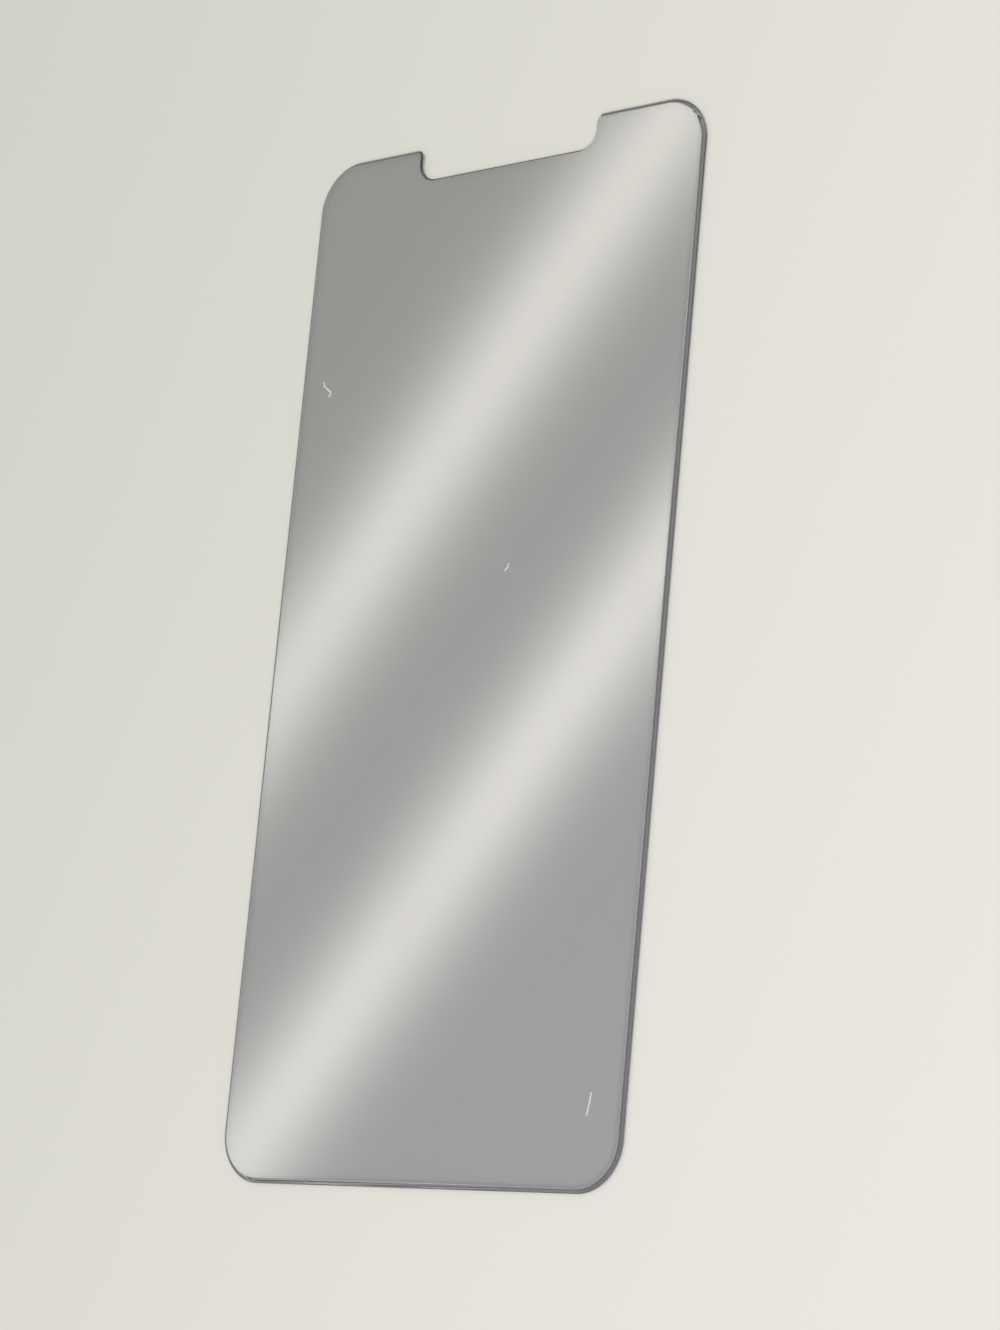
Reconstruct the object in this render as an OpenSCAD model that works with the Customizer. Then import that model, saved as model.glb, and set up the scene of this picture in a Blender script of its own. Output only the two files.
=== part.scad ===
// Phone screen protector: one thin pane of toughened glass with a clear adhesive
// back, rounded corners, a wide shallow notch in its upper end and a polished curve
// round its front edge. It lies face up, as it rests.
// Origin: centre of the back face. +Y points to the notched end, +Z out of the front.

/* [Pane] */
// Width across the long sides
pane_w = 65.6; // [56:0.1:80]
// Length from the lower end to the tops of the ears
pane_l = 138.4; // [110:0.1:175]
// Thickness of the glass and its bonded back together
pane_t = 0.6; // [0.5:0.05:1]
// Radius of the four outer corners
corner_r = 6.5; // [4:0.1:14]

/* [Notch] */
// Width between the side walls of the notch
notch_w = 29.8; // [10:0.1:44]
// Depth from the tops of the ears to the floor of the notch
notch_depth = 4.6; // [4:0.1:9]
// Radius that rounds each ear into the notch
ear_r = 1.3; // [1:0.1:2]
// Radius of the two inner corners of the notch
root_r = 2.5; // [1:0.1:2.8]

/* [Polished front edge] */
// Width of the polished curve, seen from the front
polish_w = 0.65; // [0.35:0.05:0.9]
// Height that the curve falls between the flat face and the rim
polish_drop = 0.35; // [0.25:0.01:0.4]
// Slope in degrees at which the curve leaves the flat face
polish_start = 8; // [2:1:15]

/* [Notch bevel] */
// Width of the bevel round the notch, seen from the front
bevel_w = 0.25; // [0.1:0.05:0.3]
// Height of that bevel
bevel_drop = 0.2; // [0.05:0.01:0.25]

/* [Back edge] */
// Size of the small bevel that takes the sharpness off the back edge
back_bevel = 0.06; // [0.02:0.01:0.09]

/* [Hidden] */
$fn = 120;
half_w = pane_w / 2;
half_l = pane_l / 2;
half_notch = notch_w / 2;
floor_y = half_l - notch_depth;
// How far a cutter reaches past the glass
reach = 0.5;
// The polished curve is one arc. Its chord joins the face to the rim.
chord = norm([polish_w, polish_drop]);
chord_slope = atan(polish_drop / polish_w);
polish_r = chord / (2 * sin(chord_slope - polish_start));
polish_x = -polish_w - polish_r * sin(polish_start);
polish_z = pane_t - polish_r * cos(polish_start);

// What lies between a square corner at the origin and the round one inside it
module corner_waste(r) {
    difference() {
        square(r);
        translate([r, r]) circle(r);
    }
}

// The notch: a bay with round inner corners, flared at its mouth by the ears
module notch_outline() {
    difference() {
        translate([-half_notch, floor_y]) square([notch_w, notch_depth + reach]);
        for (side = [0, 1]) mirror([side, 0])
            translate([half_notch, floor_y]) mirror([1, 0]) corner_waste(root_r);
    }
    for (side = [0, 1]) mirror([side, 0])
        translate([half_notch, half_l]) mirror([0, 1]) corner_waste(ear_r);
}

module pane_outline() {
    difference() {
        translate([-half_w, -half_l]) square([pane_w, pane_l]);
        for (side = [0, 1], end = [0, 1]) mirror([side, 0]) mirror([0, end])
            translate([half_w, half_l]) rotate(180) corner_waste(corner_r);
        notch_outline();
    }
}

// Edge profiles: x is measured outwards from the rim, y is the height. Each one
// is what is ground away, and each runs on into the air past both ends of its cut.
module polish_profile() {
    difference() {
        translate([polish_x, pane_t - polish_drop - reach / 4])
            square([reach - polish_x, polish_drop + reach]);
        translate([polish_x, polish_z]) circle(polish_r);
    }
}

module bevel_profile() {
    polygon([
        [-2 * bevel_w, pane_t + bevel_drop],
        [bevel_w, pane_t - 2 * bevel_drop],
        [bevel_w, pane_t + bevel_drop]
    ]);
}

module back_bevel_profile() {
    polygon([
        [-2 * back_bevel, -back_bevel],
        [back_bevel, -back_bevel],
        [back_bevel, 2 * back_bevel]
    ]);
}

// Carries a profile along a straight rim that faces +X, from the origin towards -Y
module straight_rim(length) {
    rotate([90, 0, 0]) linear_extrude(length) children();
}

// Carries a profile round a quarter turn that bulges outwards
module outer_turn(r) {
    rotate_extrude(angle = 90) translate([r, 0]) children();
}

// Carries a profile round a quarter turn that is hollow, as in the notch's corners
module inner_turn(r) {
    rotate_extrude(angle = 90) translate([r, 0]) mirror([1, 0]) children();
}

// Carries a profile round the four sides and corners
module round_pane() {
    for (side = [0, 1]) mirror([side, 0, 0]) {
        translate([half_w, half_l - corner_r, 0])
            straight_rim(pane_l - 2 * corner_r) children();
        for (end = [0, 1]) mirror([0, end, 0])
            translate([half_w - corner_r, half_l - corner_r, 0])
                outer_turn(corner_r) children();
    }
    for (end = [0, 1]) mirror([0, end, 0])
        translate([corner_r - half_w, half_l, 0]) rotate(90)
            straight_rim(pane_w - 2 * corner_r) children();
}

// Carries a profile round the notch, from the top of one ear to the other
module round_notch() {
    translate([root_r - half_notch, floor_y, 0]) rotate(90)
        straight_rim(notch_w - 2 * root_r) children();
    for (side = [0, 1]) mirror([side, 0, 0]) {
        translate([half_notch - root_r, floor_y + root_r, 0]) rotate(-90)
            inner_turn(root_r) children();
        translate([half_notch, floor_y + root_r, 0]) rotate(180)
            straight_rim(notch_depth - root_r - ear_r) children();
        translate([half_notch + ear_r, half_l - ear_r, 0]) rotate(90)
            outer_turn(ear_r) children();
    }
}

// The pane is cut to its outline, its rim is polished to a curve along the four
// sides, and the notch, where the polishing wheel can't follow, gets a bevel.
module glass_pane() {
    color([0.62, 0.64, 0.62, 0.5])
        difference() {
            linear_extrude(pane_t) pane_outline();
            round_pane() polish_profile();
            round_notch() bevel_profile();
            round_pane() back_bevel_profile();
            round_notch() back_bevel_profile();
        }
}

glass_pane();
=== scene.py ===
"""Dresses the phone screen protector: one clear pane of toughened glass on a pale table.

The pane lies face up, as it rests. Its polished front edge, the bevel round its notch and the
small bevel on its back are modelled finely here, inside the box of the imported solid.
"""

import logging
import math
from contextlib import contextmanager
from dataclasses import dataclass, field
from enum import Enum
from typing import Callable, Iterator

import bmesh
import bpy
from mathutils import Matrix, Vector


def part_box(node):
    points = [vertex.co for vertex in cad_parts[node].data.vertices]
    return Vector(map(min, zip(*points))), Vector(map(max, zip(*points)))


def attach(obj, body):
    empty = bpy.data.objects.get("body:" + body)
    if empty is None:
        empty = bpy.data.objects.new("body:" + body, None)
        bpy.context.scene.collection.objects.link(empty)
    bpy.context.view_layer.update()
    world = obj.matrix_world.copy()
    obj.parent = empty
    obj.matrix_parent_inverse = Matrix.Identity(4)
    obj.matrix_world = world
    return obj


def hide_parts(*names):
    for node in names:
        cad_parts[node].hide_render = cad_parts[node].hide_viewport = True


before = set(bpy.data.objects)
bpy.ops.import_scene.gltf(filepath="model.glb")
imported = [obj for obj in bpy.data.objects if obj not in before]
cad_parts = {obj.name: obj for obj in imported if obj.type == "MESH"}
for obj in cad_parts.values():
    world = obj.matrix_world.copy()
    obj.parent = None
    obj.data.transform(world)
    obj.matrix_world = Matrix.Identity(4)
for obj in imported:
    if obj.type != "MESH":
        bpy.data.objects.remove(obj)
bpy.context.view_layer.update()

log = logging.getLogger("screen_protector")

MM = 0.001
NODE = "glass_pane"
BODY = "root"
# How near two heights, places or directions lie to count as the same
CLOSE = 0.002 * MM
LEVEL = 0.999
# How near two points lie to be merged into one
MERGE = 0.0001 * MM

Color = tuple[float, float, float]
Point = tuple[float, float]
BLACK: Color = (0.0, 0.0, 0.0)
# What is left of the light that falls through the pane, and through its edges
THROUGH_PANE: Color = (0.794, 0.79, 0.812)
THROUGH_EDGE: Color = (0.45, 0.45, 0.46)


class Zone(Enum):
    """The parts of the pane's surface, numbered as its material slots are."""

    FACE = 0
    POLISH = 1
    RIM = 2
    BACK = 3
    NOTCH_BEVEL = 4


class Course(Enum):
    """How a step runs from its start to its end."""

    SMOOTH = "SMOOTHSTEP"
    STRAIGHT = "LINEAR"


def deselect_all() -> None:
    """Leaves nothing selected, because an operator acts on all that is."""
    bpy.ops.object.select_all(action="DESELECT")


def make_active(piece: bpy.types.Object) -> None:
    """Selects one object alone and makes it the active one.

    Args:
        piece: the object to work on.
    """
    deselect_all()
    piece.select_set(True)
    bpy.context.view_layer.objects.active = piece


@contextmanager
def editing(piece: bpy.types.Object) -> Iterator[None]:
    """Holds a piece in edit mode with nothing selected.

    Args:
        piece: the mesh object to shape.
    """
    make_active(piece)
    bpy.ops.object.mode_set(mode="EDIT")
    bpy.ops.mesh.select_all(action="DESELECT")
    yield
    bpy.ops.object.mode_set(mode="OBJECT")


def pick_faces(piece: bpy.types.Object, test: Callable[[bmesh.types.BMFace], bool]) -> int:
    """Selects, in edit mode, the faces that pass a test and no others.

    Args:
        piece: the mesh object in edit mode.
        test: says whether a face is wanted.

    Returns:
        How many faces are selected.
    """
    bpy.ops.mesh.select_mode(type="FACE")
    bpy.ops.mesh.select_all(action="DESELECT")
    mesh = bmesh.from_edit_mesh(piece.data)
    for face in mesh.faces:
        face.select_set(test(face))
    bmesh.update_edit_mesh(piece.data)
    return sum(face.select for face in mesh.faces)


def pick_edges(piece: bpy.types.Object, test: Callable[[bmesh.types.BMEdge], bool]) -> int:
    """Selects, in edit mode, the edges that pass a test and no others.

    Args:
        piece: the mesh object in edit mode.
        test: says whether an edge is wanted.

    Returns:
        How many edges are selected.
    """
    bpy.ops.mesh.select_mode(type="EDGE")
    bpy.ops.mesh.select_all(action="DESELECT")
    mesh = bmesh.from_edit_mesh(piece.data)
    for edge in mesh.edges:
        edge.select_set(test(edge))
    bmesh.update_edit_mesh(piece.data)
    return sum(edge.select for edge in mesh.edges)


def stands_upright(edge: bmesh.types.BMEdge) -> bool:
    """Says whether an edge runs along Z."""
    run = (edge.verts[1].co - edge.verts[0].co).normalized()
    return abs(run.z) > LEVEL


def middle(edge: bmesh.types.BMEdge) -> Vector:
    """Gives the middle of an edge."""
    return (edge.verts[0].co + edge.verts[1].co) / 2


def add_block(name: str, low: Vector, high: Vector) -> bpy.types.Object:
    """Adds a block between two corners, with its place in its mesh.

    Args:
        name: the new object's name.
        low: its lowest corner.
        high: its highest corner.

    Returns:
        The block.
    """
    deselect_all()
    bpy.ops.mesh.primitive_cube_add(size=1.0, location=(low + high) / 2, scale=high - low)
    block = bpy.context.active_object
    block.name = name
    block.data.name = name
    bpy.ops.object.transform_apply(location=True, rotation=True, scale=True)
    return block


def bevel_picked(radius: float, steps: int) -> None:
    """Rounds the picked edges.

    Args:
        radius: the round's radius in metres.
        steps: how many faces make the round.
    """
    bpy.ops.mesh.bevel(
        offset_type="OFFSET", offset=radius, segments=steps, affect="EDGES", clamp_overlap=False
    )


def cut_away(piece: bpy.types.Object, cutter: bpy.types.Object) -> None:
    """Cuts one solid out of another and removes the cutter.

    Args:
        piece: the object that is cut.
        cutter: the solid that takes material away.
    """
    make_active(piece)
    cut = piece.modifiers.new("cut", "BOOLEAN")
    cut.operation = "DIFFERENCE"
    cut.solver = "EXACT"
    cut.object = cutter
    bpy.ops.object.modifier_apply(modifier=cut.name)
    mesh = cutter.data
    bpy.data.objects.remove(cutter)
    bpy.data.meshes.remove(mesh)


class Nodes:
    """Places shader nodes in a tree and joins them, one short call each."""

    # Where a Mix node that mixes colours takes its two colours and puts out the result
    FIRST_COLOR = 6
    SECOND_COLOR = 7
    MIXED_COLOR = 2

    def __init__(self, tree: bpy.types.NodeTree) -> None:
        """Empties the tree.

        Args:
            tree: the material's, world's or group's node tree.
        """
        self.tree = tree
        tree.nodes.clear()

    def add(self, kind: str, **values: object) -> bpy.types.Node:
        """Adds a node.

        Args:
            kind: the node's type without its ShaderNode prefix, or a full type name.
            values: properties of the node by name.

        Returns:
            The node.
        """
        full = kind if kind.startswith("Node") else f"ShaderNode{kind}"
        node = self.tree.nodes.new(full)
        for name, value in values.items():
            setattr(node, name, value)
        return node

    def feed(self, socket: bpy.types.NodeSocket, value: object) -> None:
        """Gives an input either a link from an output or a plain value.

        Args:
            socket: the input.
            value: an output to link from, or a plain value.
        """
        if isinstance(value, bpy.types.NodeSocket):
            self.tree.links.new(value, socket)
        else:
            socket.default_value = value

    def use(self, group: bpy.types.NodeTree, given: dict[str, object]) -> bpy.types.Node:
        """Places a node group.

        Args:
            group: the group.
            given: what goes into it by name, each an output or a plain value.

        Returns:
            The group's node.
        """
        node = self.add("Group", node_tree=group)
        for name, value in given.items():
            self.feed(node.inputs[name], value)
        return node

    def math(self, operation: str, *values: object) -> bpy.types.NodeSocket:
        """Adds a Math node.

        Args:
            operation: the node's operation.
            values: its inputs, each an output or a number.

        Returns:
            The result.
        """
        node = self.add("Math", operation=operation)
        for socket, value in zip(node.inputs, values):
            self.feed(socket, value)
        return node.outputs[0]

    def ramp(
        self,
        value: object,
        start: object,
        end: object,
        low: object = 0.0,
        high: object = 1.0,
        course: Course = Course.SMOOTH,
    ) -> bpy.types.NodeSocket:
        """Adds a step from one value to another.

        Args:
            value: what is followed.
            start: where the step starts.
            end: where the step ends.
            low: the result before the step.
            high: the result after it.
            course: how the result runs between the two.

        Returns:
            The result.
        """
        node = self.add("MapRange", interpolation_type=course.value, clamp=True)
        for name, given in (
            ("Value", value),
            ("From Min", start),
            ("From Max", end),
            ("To Min", low),
            ("To Max", high),
        ):
            self.feed(node.inputs[name], given)
        return node.outputs["Result"]

    def vector(self, operation: str, *values: object) -> bpy.types.Node:
        """Adds a Vector Math node.

        Args:
            operation: the node's operation.
            values: its inputs, each an output, a vector or a number.

        Returns:
            The node.
        """
        node = self.add("VectorMath", operation=operation)
        for socket, value in zip(node.inputs, values):
            self.feed(socket, value)
        return node

    def along(self, place: object, run: Vector) -> bpy.types.NodeSocket:
        """Measures how far a place lies along a direction."""
        return self.vector("DOT_PRODUCT", place, run).outputs["Value"]

    def blend(self, share: object, first: object, second: object) -> bpy.types.NodeSocket:
        """Mixes two colours.

        Args:
            share: how much of the second colour there is, from 0 to 1.
            first: the first colour.
            second: the second colour.

        Returns:
            The mixed colour.
        """
        node = self.add("Mix", data_type="RGBA", blend_type="MIX")
        self.feed(node.inputs[0], share)
        self.feed(node.inputs[self.FIRST_COLOR], first)
        self.feed(node.inputs[self.SECOND_COLOR], second)
        return node.outputs[self.MIXED_COLOR]


class Socket(Enum):
    """The kinds of value that go in and out of a node group."""

    VECTOR = "NodeSocketVector"
    NUMBER = "NodeSocketFloat"
    COLOR = "NodeSocketColor"


def shared_group(
    name: str,
    inputs: dict[str, Socket],
    outputs: dict[str, Socket],
    fill: Callable[[Nodes, bpy.types.Node, bpy.types.Node], None],
) -> bpy.types.NodeTree:
    """Gives a node group by name, and builds it the first time it is asked for.

    Args:
        name: the group's name.
        inputs: what goes in, by name.
        outputs: what comes out, by name.
        fill: adds the nodes between the group's input node and its output node.

    Returns:
        The group.
    """
    known = bpy.data.node_groups.get(name)
    if known:
        return known
    tree = bpy.data.node_groups.new(name, "ShaderNodeTree")
    for label, kind in inputs.items():
        tree.interface.new_socket(label, in_out="INPUT", socket_type=kind.value)
    for label, kind in outputs.items():
        tree.interface.new_socket(label, in_out="OUTPUT", socket_type=kind.value)
    nodes = Nodes(tree)
    fill(nodes, nodes.add("NodeGroupInput"), nodes.add("NodeGroupOutput"))
    return tree


def new_material(name: str) -> tuple[bpy.types.Material, Nodes]:
    """Makes an empty material.

    Args:
        name: the material's name.

    Returns:
        The material and the builder of its nodes.
    """
    material = bpy.data.materials.new(name)
    material.use_nodes = True
    return material, Nodes(material.node_tree)


def rgba(color: Color) -> tuple[float, float, float, float]:
    """Gives a colour its fourth number."""
    return (*color, 1.0)


@dataclass(frozen=True)
class EdgePaintedShading:
    """How the pane's tint is painted from its face down over its polished edge: a painted highlight
    at the crease, then a painted dark line and a darker bluish band. The line and the band are
    painted shade where the curved edge bends the light away, and the band's bluish cast is a painted
    reflection.

    Each depth is measured downwards from the face.
    """

    # Painted highlight, then a painted dark line of shade, then a darker bluish band of painted
    # shade with a painted reflection
    crease_highlight: Color = (0.86, 0.86, 0.88)
    shade_line: Color = (0.055, 0.053, 0.052)
    bluish_shade_band: Color = (0.15, 0.157, 0.19)
    crease_start: float = 0.001 * MM
    crease_end: float = 0.008 * MM
    line_start: float = 0.035 * MM
    line_end: float = 0.09 * MM
    band_start: float = 0.13 * MM
    name: str = "edge_painted_shading"

    def group(self) -> bpy.types.NodeTree:
        """Gives the node group."""
        inputs = {"Place": Socket.VECTOR, "Face Height": Socket.NUMBER, "Face Tint": Socket.COLOR}
        return shared_group(self.name, inputs, {"Tint": Socket.COLOR}, self.fill)

    def fill(self, nodes: Nodes, given: bpy.types.Node, result: bpy.types.Node) -> None:
        """Lays the painted crease highlight, the painted dark line and the painted bluish band over
        the face's tint, one below the other.

        Args:
            nodes: the builder of the group's nodes.
            given: the group's input node.
            result: the group's output node.
        """
        split = nodes.add("SeparateXYZ")
        nodes.feed(split.inputs[0], given.outputs["Place"])
        depth = nodes.math("SUBTRACT", given.outputs["Face Height"], split.outputs["Z"])
        on_edge = nodes.ramp(depth, 0.0, self.crease_start)
        past_crease = nodes.ramp(depth, self.crease_end, self.line_start)
        past_line = nodes.ramp(depth, self.line_end, self.band_start)
        tint = nodes.blend(on_edge, given.outputs["Face Tint"], rgba(self.crease_highlight))
        tint = nodes.blend(past_crease, tint, rgba(self.shade_line))
        tint = nodes.blend(past_line, tint, rgba(self.bluish_shade_band))
        nodes.feed(result.inputs["Tint"], tint)


@dataclass(frozen=True)
class TintDrift:
    """A slow change of the colour along the pane, darker and warmer at the notched end and lighter
    and cooler at the other.
    """

    warm: Color = (0.565, 0.572, 0.512)
    cool: Color = (0.705, 0.715, 0.740)
    run: Vector = field(default_factory=lambda: Vector((0.5, -0.85, 0.0)))
    reach: float = 67.0 * MM
    name: str = "tint_drift"

    def group(self) -> bpy.types.NodeTree:
        """Gives the node group."""
        return shared_group(
            self.name, {"Place": Socket.VECTOR}, {"Tint": Socket.COLOR}, self.fill
        )

    def fill(self, nodes: Nodes, given: bpy.types.Node, result: bpy.types.Node) -> None:
        """Runs the tint from warm to cool along the pane.

        Args:
            nodes: the builder of the group's nodes.
            given: the group's input node.
            result: the group's output node.
        """
        along = nodes.along(given.outputs["Place"], self.run)
        share = nodes.ramp(along, -self.reach, self.reach, course=Course.STRAIGHT)
        nodes.feed(result.inputs["Tint"], nodes.blend(share, rgba(self.warm), rgba(self.cool)))


@dataclass(frozen=True)
class Smears:
    """Faint wiped smears on the glass, as a group that varies a roughness."""

    size: float = 22.0 * MM
    stretch: float = 3.0
    turn: float = math.radians(35)
    detail: float = 3.0
    thin: float = 0.42
    thick: float = 0.75
    name: str = "wiped_smears"

    def group(self) -> bpy.types.NodeTree:
        """Gives the node group."""
        inputs = {"Place": Socket.VECTOR, "Clean": Socket.NUMBER, "Smeared": Socket.NUMBER}
        return shared_group(self.name, inputs, {"Roughness": Socket.NUMBER}, self.fill)

    def fill(self, nodes: Nodes, given: bpy.types.Node, result: bpy.types.Node) -> None:
        """Spreads long soft patches, turned and stretched as a cloth leaves them.

        Args:
            nodes: the builder of the group's nodes.
            given: the group's input node.
            result: the group's output node.
        """
        turned = nodes.add("Mapping")
        nodes.feed(turned.inputs["Vector"], given.outputs["Place"])
        turned.inputs["Rotation"].default_value = (0.0, 0.0, self.turn)
        turned.inputs["Scale"].default_value = (1.0, 1.0 / self.stretch, 1.0)
        noise = nodes.add("TexNoise")
        nodes.feed(noise.inputs["Vector"], turned.outputs[0])
        noise.inputs["Scale"].default_value = 1.0 / self.size
        noise.inputs["Detail"].default_value = self.detail
        share = nodes.ramp(noise.outputs[0], self.thin, self.thick)
        rough = nodes.ramp(
            share, 0.0, 1.0, given.outputs["Clean"], given.outputs["Smeared"], Course.STRAIGHT
        )
        nodes.feed(result.inputs["Roughness"], rough)


@dataclass(frozen=True)
class GroundGrain:
    """The fine grain that a grinding wheel leaves, as a group that gives a height."""

    size: float = 0.08 * MM
    detail: float = 2.0
    depth: float = 0.004 * MM
    strength: float = 0.5
    name: str = "ground_grain"

    def group(self) -> bpy.types.NodeTree:
        """Gives the node group."""
        return shared_group(
            self.name, {"Place": Socket.VECTOR}, {"Height": Socket.NUMBER}, self.fill
        )

    def fill(self, nodes: Nodes, given: bpy.types.Node, result: bpy.types.Node) -> None:
        """Spreads the grain evenly.

        Args:
            nodes: the builder of the group's nodes.
            given: the group's input node.
            result: the group's output node.
        """
        noise = nodes.add("TexNoise")
        nodes.feed(noise.inputs["Vector"], given.outputs["Place"])
        noise.inputs["Scale"].default_value = 1.0 / self.size
        noise.inputs["Detail"].default_value = self.detail
        nodes.feed(result.inputs["Height"], noise.outputs[0])


@dataclass(frozen=True)
class LintMarks:
    """Three fine lint fibres on the glass, each a bent run between points in millimetres.

    Clear glass has nothing pale to show, so a fibre's paleness is a painted glow that stands in for
    the light it scatters.
    """

    curl: tuple[Point, ...] = (
        (-28.7, 38.1),
        (-28.6, 37.6),
        (-27.8, 37.0),
        (-27.3, 36.6),
        (-27.3, 36.3),
        (-27.6, 36.0),
    )
    stroke: tuple[Point, ...] = ((27.6, -57.2), (27.5, -58.1), (27.2, -59.8))
    speck: tuple[Point, ...] = ((6.9, 9.9), (6.8, 9.4), (6.4, 9.1))
    core: float = 0.01 * MM
    rim: float = 0.18 * MM
    glow: Color = (0.42, 0.42, 0.41)
    name: str = "lint_marks"

    def glow_beside(
        self, nodes: Nodes, place: object, start: Vector, end: Vector
    ) -> bpy.types.NodeSocket:
        """Masks one straight piece of a fibre.

        Args:
            nodes: the builder of the group's nodes.
            place: the place on the face, with no height.
            start: where the piece starts.
            end: where the piece ends.

        Returns:
            A mask that is 1 on the piece and fades to 0 beside it.
        """
        run = (end - start).normalized()
        from_start = nodes.vector("SUBTRACT", place, start).outputs["Vector"]
        ahead = nodes.math("MAXIMUM", nodes.along(from_start, run), 0.0)
        within = nodes.math("MINIMUM", ahead, (end - start).length)
        nearest = nodes.vector("MULTIPLY", run, within).outputs["Vector"]
        away = nodes.vector("DISTANCE", from_start, nearest).outputs["Value"]
        return nodes.ramp(away, self.core, self.rim, 1.0, 0.0)

    def group(self) -> bpy.types.NodeTree:
        """Gives the node group."""
        return shared_group(
            self.name, {"Place": Socket.VECTOR}, {"Glow": Socket.COLOR}, self.fill
        )

    def fill(self, nodes: Nodes, given: bpy.types.Node, result: bpy.types.Node) -> None:
        """Joins the masks of all the fibres' pieces into one glow.

        Args:
            nodes: the builder of the group's nodes.
            given: the group's input node.
            result: the group's output node.
        """
        flat = nodes.vector("MULTIPLY", given.outputs["Place"], (1.0, 1.0, 0.0))
        mask: object = 0.0
        for fibre in (self.curl, self.stroke, self.speck):
            points = [Vector((*point, 0.0)) * MM for point in fibre]
            for start, end in zip(points, points[1:]):
                beside = self.glow_beside(nodes, flat.outputs["Vector"], start, end)
                mask = nodes.math("MAXIMUM", beside, mask)
        nodes.feed(result.inputs["Glow"], nodes.blend(mask, rgba(BLACK), rgba(self.glow)))


@dataclass(frozen=True)
class GlassFinish:
    """Clear glass with a faint grey tint, as one zone of the pane shows it. On the polished edge the
    tint also carries a painted highlight and painted shade, and on the notch's bevel painted shade.
    """

    name: str
    tint: Color | TintDrift
    shade: Color
    clean: float
    smeared: float
    ior: float = 1.52
    clear: float = 1.0
    coat: float = 0.0
    edge_painted_shading: EdgePaintedShading | None = None
    lint: LintMarks | None = None
    grain: GroundGrain | None = None

    def tint_at(self, nodes: Nodes, place: object, face_height: float) -> object:
        """Works out the tint, which may drift and may take the painted highlight and painted shade
        down over the edge.

        Args:
            nodes: the builder of the material's nodes.
            place: the place on the pane.
            face_height: the height of the front face in metres.

        Returns:
            The tint, as a plain colour or as an output.
        """
        tint: object
        if isinstance(self.tint, TintDrift):
            tint = nodes.use(self.tint.group(), {"Place": place}).outputs["Tint"]
        else:
            tint = rgba(self.tint)
        if self.edge_painted_shading is None:
            return tint
        # The painted edge highlight and shade are laid over the tint here
        given = {"Place": place, "Face Height": face_height, "Face Tint": tint}
        return nodes.use(self.edge_painted_shading.group(), given).outputs["Tint"]

    def mark_and_grind(self, nodes: Nodes, place: object, shader: bpy.types.Node) -> None:
        """Adds the lint marks and the ground grain where the finish has them.

        Args:
            nodes: the builder of the material's nodes.
            place: the place on the pane.
            shader: the glass shader.
        """
        if self.lint is not None:
            marks = nodes.use(self.lint.group(), {"Place": place})
            # The fibres' paleness is a painted glow
            nodes.feed(shader.inputs["Emission Color"], marks.outputs["Glow"])
            shader.inputs["Emission Strength"].default_value = 1.0
        if self.grain is not None:
            ground = nodes.use(self.grain.group(), {"Place": place})
            bump = nodes.add("Bump")
            bump.inputs["Strength"].default_value = self.grain.strength
            bump.inputs["Distance"].default_value = self.grain.depth
            nodes.feed(bump.inputs["Height"], ground.outputs["Height"])
            nodes.feed(shader.inputs["Normal"], bump.outputs["Normal"])

    def material(self, face_height: float) -> bpy.types.Material:
        """Builds the material.

        Light that falls through the pane to the table keeps straight on and takes the tint,
        so that the table under the glass is lit evenly.

        Args:
            face_height: the height of the front face in metres.

        Returns:
            The material.
        """
        material, nodes = new_material(self.name)
        place = nodes.add("TexCoord").outputs["Object"]
        shader = nodes.add("BsdfPrincipled")
        shader.inputs["Transmission Weight"].default_value = self.clear
        shader.inputs["Coat Weight"].default_value = self.coat
        shader.inputs["Metallic"].default_value = 0.0
        shader.inputs["IOR"].default_value = self.ior
        nodes.feed(shader.inputs["Base Color"], self.tint_at(nodes, place, face_height))
        self.mark_and_grind(nodes, place, shader)
        given = {"Place": place, "Clean": self.clean, "Smeared": self.smeared}
        smears = nodes.use(Smears().group(), given)
        nodes.feed(shader.inputs["Roughness"], smears.outputs["Roughness"])
        let_through = nodes.add("BsdfTransparent")
        nodes.feed(let_through.inputs["Color"], rgba(self.shade))
        path = nodes.add("LightPath")
        lighting = nodes.math(
            "MAXIMUM", path.outputs["Is Shadow Ray"], path.outputs["Is Diffuse Ray"]
        )
        either = nodes.add("MixShader")
        nodes.feed(either.inputs[0], lighting)
        nodes.feed(either.inputs[1], shader.outputs[0])
        nodes.feed(either.inputs[2], let_through.outputs[0])
        output = nodes.add("OutputMaterial")
        nodes.feed(output.inputs["Surface"], either.outputs[0])
        return material


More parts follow.
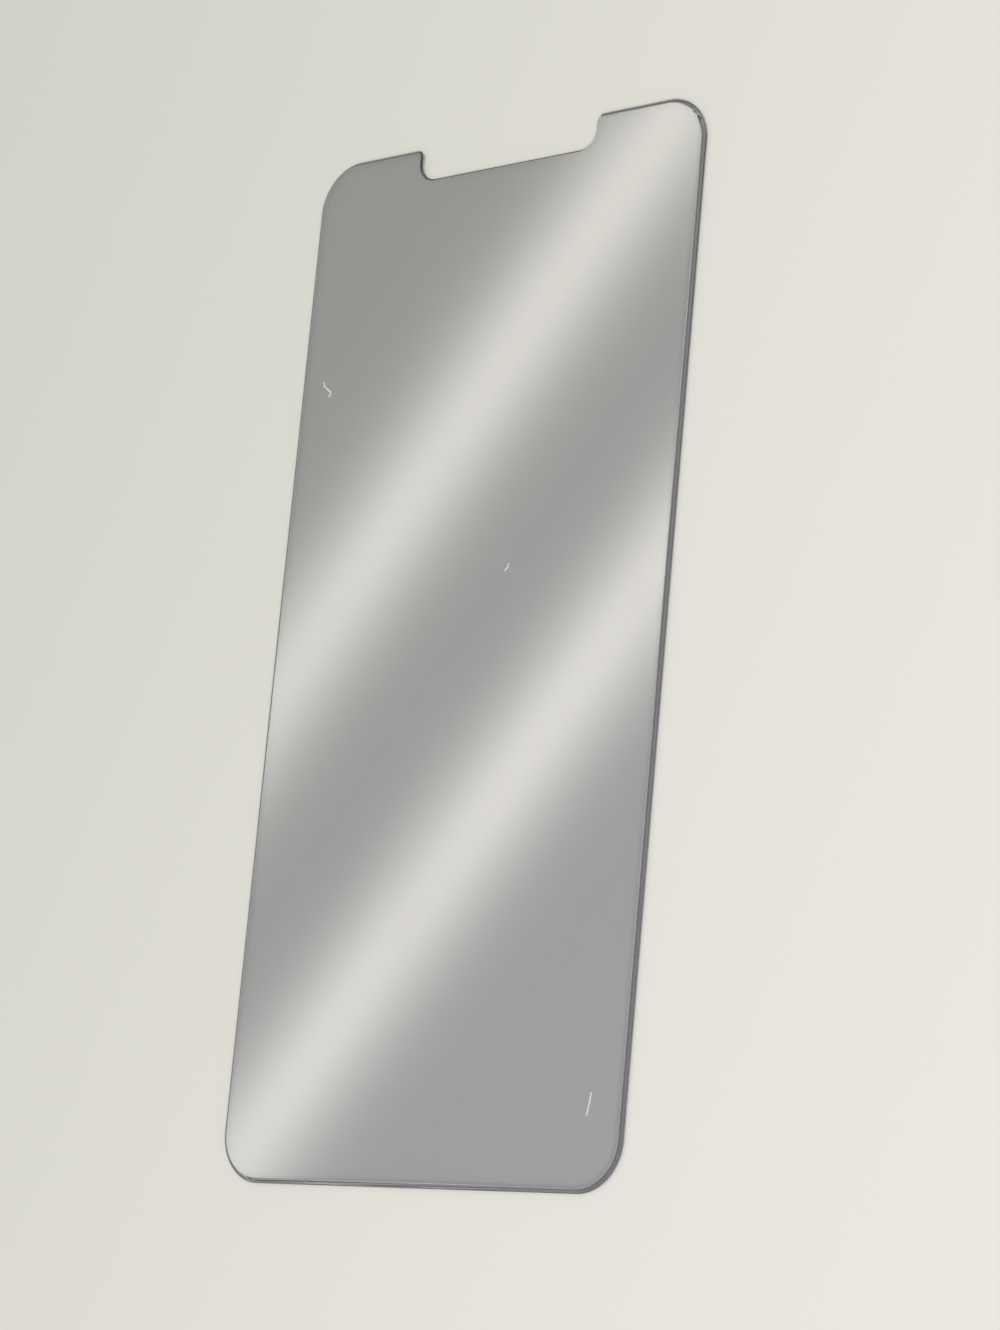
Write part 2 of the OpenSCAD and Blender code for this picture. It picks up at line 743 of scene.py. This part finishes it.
@dataclass
class NotchCutters:
    """The two solids that cut the notch, with its front bevel and its back bevel."""

    width: float
    depth: float
    ear_radius: float
    root_radius: float
    bevel_width: float
    bevel_drop: float
    back_bevel: float
    end_y: float
    face_z: float
    steps: int = 20
    reach: float = 3.0 * MM

    def block(self, name: str, flare: float, low_z: float, high_z: float) -> bpy.types.Object:
        """Makes a prism with the notch's outline, grown outwards by a flare.

        Its bay has rounded inner corners, and two arms beyond the pane's end leave the room
        that rounds the ears.

        Args:
            name: the new object's name.
            flare: how far the outline lies outside the notch.
            low_z: the height of its underside.
            high_z: the height of its top.

        Returns:
            The prism.
        """
        half = self.width / 2 + flare
        floor = self.end_y - self.depth - flare
        mouth = self.end_y + CLOSE - flare
        low = Vector((-half, floor, low_z))
        high = Vector((half, mouth + self.reach, high_z))
        prism = add_block(name, low, high)
        with editing(prism):
            bpy.ops.mesh.select_all(action="SELECT")
            bpy.ops.mesh.bisect(plane_co=(0.0, mouth, 0.0), plane_no=(0.0, 1.0, 0.0))
            for side in (-1.0, 1.0):
                pick_faces(
                    prism,
                    lambda face: face.normal.x * side > LEVEL
                    and face.calc_center_median().y > mouth,
                )
                bpy.ops.mesh.extrude_region_move(
                    TRANSFORM_OT_translate={"value": (side * self.reach, 0.0, 0.0)}
                )
            pick_edges(
                prism,
                lambda edge: stands_upright(edge)
                and abs(abs(middle(edge).x) - half) < CLOSE
                and abs(middle(edge).y - mouth) < CLOSE,
            )
            bevel_picked(self.ear_radius - flare, self.steps)
            pick_edges(
                prism,
                lambda edge: stands_upright(edge) and abs(middle(edge).y - floor) < CLOSE,
            )
            bevel_picked(self.root_radius + flare, self.steps)
        return prism

    def front(self) -> bpy.types.Object:
        """Makes the cutter that goes right through and bevels the front of the notch.

        Its underside starts above the face and twice the bevel's width outside the notch, and
        slopes in to the notch's outline twice the bevel's height below, so it cuts the bevel
        with room to spare at both ends.

        Returns:
            The cutter.
        """
        flare = 2 * self.bevel_width
        underside = self.face_z + self.bevel_drop
        cutter = self.block("front_cutter", flare, underside, underside + self.reach)
        with editing(cutter):
            pick_faces(cutter, lambda face: face.normal.z < -LEVEL)
            bpy.ops.mesh.inset(thickness=flare, depth=2 * self.bevel_drop, use_even_offset=True)
            bpy.ops.mesh.extrude_region_move(
                TRANSFORM_OT_translate={"value": (0.0, 0.0, -self.face_z - self.reach)}
            )
        return cutter

    def back(self) -> bpy.types.Object:
        """Makes the cutter that bevels the back of the notch.

        Its top starts below the back and outside the notch, and slopes in past the outline.

        Returns:
            The cutter.
        """
        flare = 2 * self.back_bevel
        top = -self.back_bevel
        cutter = self.block("back_cutter", flare, top - self.reach, top)
        with editing(cutter):
            pick_faces(cutter, lambda face: face.normal.z > LEVEL)
            rise = 3 * self.back_bevel
            bpy.ops.mesh.inset(thickness=rise, depth=rise, use_even_offset=True)
        return cutter


@dataclass
class GlassPane:
    """The pane: its outline, its polished front edge, its notch and its finishes."""

    low: Vector
    high: Vector
    corner_radius: float = 6.5 * MM
    polish_width: float = 0.65 * MM
    polish_drop: float = 0.35 * MM
    polish_start: float = math.radians(8)
    back_bevel: float = 0.06 * MM
    notch_width: float = 29.8 * MM
    notch_depth: float = 4.6 * MM
    ear_radius: float = 1.3 * MM
    root_radius: float = 2.5 * MM
    bevel_width: float = 0.25 * MM
    bevel_drop: float = 0.2 * MM
    corner_steps: int = 32
    polish_steps: int = 18
    crease_angle: float = math.radians(5)
    finishes: dict[Zone, GlassFinish] = field(
        default_factory=lambda: {
            Zone.FACE: GlassFinish(
                "polished_glass",
                tint=TintDrift(),
                shade=THROUGH_PANE,
                clean=0.03,
                smeared=0.06,
                coat=1.0,
                lint=LintMarks(),
            ),
            # The polished edge's tint is painted: a highlight at the crease, then shade, then a band
            # with a painted bluish reflection
            Zone.POLISH: GlassFinish(
                "polished_edge_painted_shading",
                tint=TintDrift(),
                shade=THROUGH_EDGE,
                clean=0.03,
                smeared=0.06,
                coat=1.0,
                edge_painted_shading=EdgePaintedShading(),
            ),
            # The rim's grey is the ground glass's own; its lightness and bluish cast are a painted
            # reflection along the edge
            Zone.RIM: GlassFinish(
                "ground_rim_painted_sheen",
                tint=(0.42, 0.44, 0.50),
                shade=THROUGH_EDGE,
                clean=0.35,
                smeared=0.45,
                clear=0.35,
                grain=GroundGrain(),
            ),
            Zone.BACK: GlassFinish(
                "adhesive_back",
                tint=(0.63, 0.625, 0.66),
                shade=THROUGH_PANE,
                clean=0.04,
                smeared=0.08,
            ),
            # The notch bevel's near-black tint is painted shade, the dark line where the bevel turns
            # the light away; its grain is real
            Zone.NOTCH_BEVEL: GlassFinish(
                "ground_bevel_painted_shade",
                tint=(0.02, 0.02, 0.022),
                shade=THROUGH_EDGE,
                clean=0.2,
                smeared=0.3,
                grain=GroundGrain(),
            ),
        }
    )

    def polish_stations(self) -> list[tuple[float, float]]:
        """Works out the polished curve, which is one arc from the rim up to the face.

        Returns:
            For each step the run inwards and the rise, in metres.
        """
        chord = math.hypot(self.polish_width, self.polish_drop)
        chord_slope = math.atan2(self.polish_drop, self.polish_width)
        radius = chord / (2 * math.sin(chord_slope - self.polish_start))
        steepest = 2 * chord_slope - self.polish_start
        slopes = [
            steepest + (self.polish_start - steepest) * step / self.polish_steps
            for step in range(self.polish_steps + 1)
        ]
        return [
            (
                radius * (math.sin(here) - math.sin(there)),
                radius * (math.cos(there) - math.cos(here)),
            )
            for here, there in zip(slopes, slopes[1:])
        ]

    def build(self) -> bpy.types.Object:
        """Shapes the pane from a block.

        Returns:
            The finished mesh object, with its place in its mesh.
        """
        low = self.low + Vector((0.0, 0.0, self.back_bevel))
        high = self.high - Vector((0.0, 0.0, self.polish_drop))
        pane = add_block("screen_glass", low, high)
        with editing(pane):
            pick_edges(pane, stands_upright)
            bevel_picked(self.corner_radius, self.corner_steps)
            pick_faces(pane, lambda face: face.normal.z > LEVEL)
            for run, rise in self.polish_stations():
                bpy.ops.mesh.inset(thickness=run, depth=rise, use_even_offset=True)
            pick_faces(pane, lambda face: face.normal.z < -LEVEL)
            bpy.ops.mesh.inset(
                thickness=self.back_bevel, depth=self.back_bevel, use_even_offset=True
            )
        self.cut_notch(pane)
        self.close_mesh(pane)
        return pane

    def cut_notch(self, pane: bpy.types.Object) -> None:
        """Cuts the notch into the pane's upper end.

        Args:
            pane: the pane with its four sides shaped.
        """
        cutters = NotchCutters(
            width=self.notch_width,
            depth=self.notch_depth,
            ear_radius=self.ear_radius,
            root_radius=self.root_radius,
            bevel_width=self.bevel_width,
            bevel_drop=self.bevel_drop,
            back_bevel=self.back_bevel,
            end_y=self.high.y,
            face_z=self.high.z,
        )
        cut_away(pane, cutters.front())
        cut_away(pane, cutters.back())

    def close_mesh(self, pane: bpy.types.Object) -> None:
        """Merges doubled points, turns the faces outwards and smooths the rounds.

        Args:
            pane: the pane with its notch cut.
        """
        with editing(pane):
            bpy.ops.mesh.select_all(action="SELECT")
            bpy.ops.mesh.remove_doubles(threshold=MERGE)
            bpy.ops.mesh.normals_make_consistent(inside=False)
        make_active(pane)
        bpy.ops.object.shade_smooth_by_angle(angle=self.crease_angle)

    def zone_of(self, face: bmesh.types.BMFace) -> Zone:
        """Says which zone a face belongs to.

        Args:
            face: a face of the finished pane.

        Returns:
            The zone, told from the face's slope and its place.
        """
        if abs(face.normal.z) < 1 - LEVEL:
            return Zone.RIM
        if face.normal.z < 0:
            return Zone.BACK
        if face.normal.z > LEVEL:
            return Zone.FACE
        slope = math.cos(math.atan2(self.bevel_drop, self.bevel_width))
        at_notch = abs(face.calc_center_median().x) < self.notch_width / 2 + self.ear_radius
        if at_notch and abs(face.normal.z - slope) < 1 - LEVEL:
            return Zone.NOTCH_BEVEL
        return Zone.POLISH

    def dress(self, pane: bpy.types.Object) -> None:
        """Gives each zone of the pane its finish.

        Args:
            pane: the finished mesh object.
        """
        for zone in Zone:
            pane.data.materials.append(self.finishes[zone].material(self.high.z))
        for zone in Zone:
            with editing(pane):
                count = pick_faces(pane, lambda face: self.zone_of(face) is zone)
                pane.active_material_index = zone.value
                bpy.ops.object.material_slot_assign()
            log.info("%s: %d faces in zone %s", pane.name, count, zone.name)

    def place(self, pane: bpy.types.Object) -> None:
        """Ties the pane to its body and hides the imported node that it replaces.

        Args:
            pane: the finished mesh object.
        """
        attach(pane, BODY)
        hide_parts(NODE)


@dataclass
class Table:
    """The pale surface that the pane lies on. It isn't part of the object.

    Its colour is painted lighter towards the lamp's side and duller away from it, a painted fall-off
    of the lamp's light.
    """

    top_z: float = -0.1 * MM
    half: float = 6.0
    shaded_side: Color = (0.638, 0.634, 0.567)
    light: Color = (0.854, 0.834, 0.773)
    run: Vector = field(default_factory=lambda: Vector((0.909, -0.417, 0.0)))
    reach: float = 190.0 * MM
    roughness: float = 0.9

    def build(self) -> bpy.types.Object:
        """Lays the table's top and dresses it.

        Returns:
            The table's top.
        """
        deselect_all()
        bpy.ops.mesh.primitive_plane_add(size=2 * self.half, location=(0.0, 0.0, self.top_z))
        top = bpy.context.active_object
        top.name = "table_top"
        bpy.ops.object.transform_apply(location=True, rotation=True, scale=True)
        material, nodes = new_material("pale_table")
        shader = nodes.add("BsdfPrincipled")
        along = nodes.along(nodes.add("TexCoord").outputs["Object"], self.run)
        share = nodes.ramp(along, -self.reach, self.reach)
        # Painted fall-off of light: lighter towards the lamp's side, duller away from it
        color = nodes.blend(share, rgba(self.shaded_side), rgba(self.light))
        nodes.feed(shader.inputs["Base Color"], color)
        shader.inputs["Roughness"].default_value = self.roughness
        shader.inputs["Specular IOR Level"].default_value = 0.0
        output = nodes.add("OutputMaterial")
        nodes.feed(output.inputs["Surface"], shader.outputs[0])
        top.data.materials.append(material)
        return top


@dataclass
class StripLights:
    """Rows of soft parallel strip lights overhead, which only show as reflections.

    The pane mirrors the card from the camera's side, so the two main strips are set by the
    place and the slant of their reflections on the pane. The middle of the pane mirrors the
    middle of the card, and the card's pattern is larger than its reflection by the spread.
    Fainter rows begin beyond what the flat face mirrors there, so that the polished edges,
    and the pane seen from elsewhere, have lights to mirror too.
    """

    height: float = 0.9
    half: float = 4.5
    mirror_x: float = -0.793
    mirror_y: float = 0.260
    spread: float = 3.612
    slant: float = math.radians(50.5)
    places: tuple[float, float] = (21.55 * MM, -19.3 * MM)
    strengths: tuple[float, float] = (3.8, 3.95)
    softness: tuple[float, float] = (6.4 * MM, 5.75 * MM)
    falloff: float = 1.84
    steepness: float = 0.5
    swell: float = 0.10
    swell_reach: float = 45.0 * MM
    rows_start: float = 97.0 * MM
    rows_gap: float = 41.0 * MM
    rows_near: float = 2.6
    rows_far: float = 3.2
    rows_softness: float = 6.4 * MM
    fade_near: float = 250.0 * MM
    fade_far: float = 75.0 * MM
    color: Color = (1.0, 0.97, 0.883)

    def build(self) -> bpy.types.Object:
        """Hangs the card and dresses it.

        Returns:
            The card.
        """
        deselect_all()
        bpy.ops.mesh.primitive_plane_add(
            size=2 * self.half, location=(self.mirror_x, self.mirror_y, self.height)
        )
        card = bpy.context.active_object
        card.name = "strip_light_card"
        bpy.ops.object.transform_apply(location=True, rotation=True, scale=True)
        card.data.materials.append(self.material())
        card.visible_camera = False
        card.visible_diffuse = False
        card.visible_transmission = False
        card.visible_shadow = False
        card.visible_volume_scatter = False
        return card

    def bell(self, nodes: Nodes, away: object, softness: float) -> bpy.types.NodeSocket:
        """Shapes one strip's glow across its width.

        Args:
            nodes: the builder of the material's nodes.
            away: the distance from the strip's middle.
            softness: how far the glow reaches.

        Returns:
            The glow, which is 1 in the strip's middle.
        """
        scaled = nodes.math("ABSOLUTE", nodes.math("DIVIDE", away, softness))
        raised = nodes.math("POWER", scaled, self.falloff)
        return nodes.math("EXPONENT", nodes.math("MULTIPLY", raised, -self.steepness))

    def main_strips(self, nodes: Nodes, across: object, on_x: object) -> bpy.types.NodeSocket:
        """Adds up the two main strips, which swell slightly towards the camera's side.

        Args:
            nodes: the builder of the material's nodes.
            across: the place across the strips, in the pane's scale.
            on_x: the place along X, in the pane's scale.

        Returns:
            Their glow.
        """
        glow: object = 0.0
        for centre, strength, softness in zip(self.places, self.strengths, self.softness):
            bell = self.bell(nodes, nodes.math("SUBTRACT", across, centre), softness)
            glow = nodes.math("MULTIPLY_ADD", bell, strength, glow)
        reach = self.swell_reach
        swell = nodes.ramp(
            on_x, -reach, reach, 1 - self.swell, 1 + self.swell, Course.STRAIGHT
        )
        return nodes.math("MULTIPLY", glow, swell)

    def outer_rows(self, nodes: Nodes, across: object) -> bpy.types.NodeSocket:
        """Repeats a fainter strip on both sides of the main ones, fading with distance.

        The rows on the far side start brighter, and those on the camera's side reach further.

        Args:
            nodes: the builder of the material's nodes.
            across: the place across the strips, in the pane's scale.

        Returns:
            Their glow.
        """
        away = nodes.math("ABSOLUTE", across)
        past_start = nodes.math("SUBTRACT", away, self.rows_start)
        to_nearest = nodes.math("PINGPONG", past_start, self.rows_gap / 2)
        bell = self.bell(nodes, to_nearest, self.rows_softness)
        first_foot = self.rows_start - self.rows_gap / 2
        begun = nodes.ramp(away, first_foot, self.rows_start)
        side = nodes.ramp(across, -first_foot, first_foot, self.rows_near, self.rows_far)
        fade = nodes.ramp(across, -first_foot, first_foot, -self.fade_near, -self.fade_far)
        fading = nodes.math("EXPONENT", nodes.math("DIVIDE", past_start, fade))
        strength = nodes.math("MULTIPLY", side, nodes.math("MULTIPLY", fading, begun))
        return nodes.math("MULTIPLY", bell, strength)

    def material(self) -> bpy.types.Material:
        """Builds the card's glow, which is clear between the strips.

        Returns:
            The material.
        """
        material, nodes = new_material("strip_lights")
        place = nodes.add("TexCoord").outputs["Object"]
        across_run = Vector((-math.sin(self.slant), math.cos(self.slant), 0.0)) / self.spread
        mirror = Vector((self.mirror_x, self.mirror_y, 0.0))
        across = nodes.math("SUBTRACT", nodes.along(place, across_run), across_run.dot(mirror))
        x_run = Vector((1.0, 0.0, 0.0)) / self.spread
        on_x = nodes.math("SUBTRACT", nodes.along(place, x_run), x_run.dot(mirror))
        main = self.main_strips(nodes, across, on_x)
        light = nodes.add("Emission")
        nodes.feed(light.inputs["Color"], rgba(self.color))
        nodes.feed(light.inputs["Strength"], nodes.math("ADD", main, self.outer_rows(nodes, across)))
        clear = nodes.add("BsdfTransparent")
        both = nodes.add("AddShader")
        nodes.feed(both.inputs[0], light.outputs[0])
        nodes.feed(both.inputs[1], clear.outputs[0])
        output = nodes.add("OutputMaterial")
        nodes.feed(output.inputs["Surface"], both.outputs[0])
        return material


@dataclass
class Studio:
    """The plain light: a pale room and one broad soft lamp far away."""

    room: Color = (1.0, 1.0, 1.0)
    room_strength: float = 0.6
    lamp_from: Vector = field(default_factory=lambda: Vector((0.48, -0.25, 0.5)))
    lamp_width: float = math.radians(30)
    lamp_strength: float = 1.85

    def build(self) -> None:
        """Sets the room and hangs the lamp."""
        world = bpy.data.worlds.new("pale_room")
        bpy.context.scene.world = world
        world.use_nodes = True
        nodes = Nodes(world.node_tree)
        sky = nodes.add("Background")
        sky.inputs["Color"].default_value = rgba(self.room)
        sky.inputs["Strength"].default_value = self.room_strength
        output = nodes.add("OutputWorld")
        nodes.feed(output.inputs["Surface"], sky.outputs[0])
        deselect_all()
        bpy.ops.object.light_add(type="SUN", location=self.lamp_from)
        lamp = bpy.context.active_object
        lamp.name = "soft_lamp"
        lamp.data.angle = self.lamp_width
        lamp.data.energy = self.lamp_strength
        lamp.rotation_euler = (-self.lamp_from).to_track_quat("-Z", "Y").to_euler()
        lamp.visible_glossy = False
        lamp.visible_transmission = False


@dataclass
class PhotoCamera:
    """The camera at the photograph's angle, solved from the pane's four sides."""

    aim: Vector = field(default_factory=lambda: Vector((6.533, -3.123, 0.0)) * MM)
    distance: float = 465.16 * MM
    azimuth: float = math.radians(72.02)
    elevation: float = math.radians(47.81)
    roll: float = math.radians(71.19)
    lens: float = 99.65
    sensor: float = 36.0
    nearest: float = 0.01
    farthest: float = 50.0

    def build(self) -> bpy.types.Object:
        """Sets the camera up and makes it the scene's.

        Returns:
            The camera.
        """
        level = math.cos(self.elevation)
        towards = Vector(
            (
                level * math.sin(self.azimuth),
                -level * math.cos(self.azimuth),
                math.sin(self.elevation),
            )
        )
        deselect_all()
        bpy.ops.object.camera_add(location=self.aim + towards * self.distance)
        camera = bpy.context.active_object
        camera.name = "photo_camera"
        camera.data.sensor_fit = "VERTICAL"
        camera.data.sensor_height = self.sensor
        camera.data.lens = self.lens
        camera.data.clip_start = self.nearest
        camera.data.clip_end = self.farthest
        upright = towards.to_track_quat("Z", "Y").to_matrix()
        camera.rotation_euler = (upright @ Matrix.Rotation(-self.roll, 3, "Z")).to_euler()
        bpy.context.scene.camera = camera
        return camera


def write_sizes() -> None:
    """Brings the scene's placements up to date."""
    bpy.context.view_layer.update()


def main() -> None:
    """Builds and dresses the pane, then the table, the light and the camera."""
    logging.basicConfig(level=logging.INFO, format="%(name)s: %(message)s")
    bpy.context.scene.view_settings.view_transform = "Standard"
    low, high = (Vector(corner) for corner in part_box(NODE))
    pane = GlassPane(low, high)
    screen_glass = pane.build()
    pane.dress(screen_glass)
    pane.place(screen_glass)
    log.info("%s: %d faces", screen_glass.name, len(screen_glass.data.polygons))
    table = Table().build()
    log.info("%s laid", table.name)
    card = StripLights().build()
    log.info("%s hung", card.name)
    Studio().build()
    camera = PhotoCamera().build()
    log.info("%s set", camera.name)
    write_sizes()


if __name__ == "__main__":
    main()
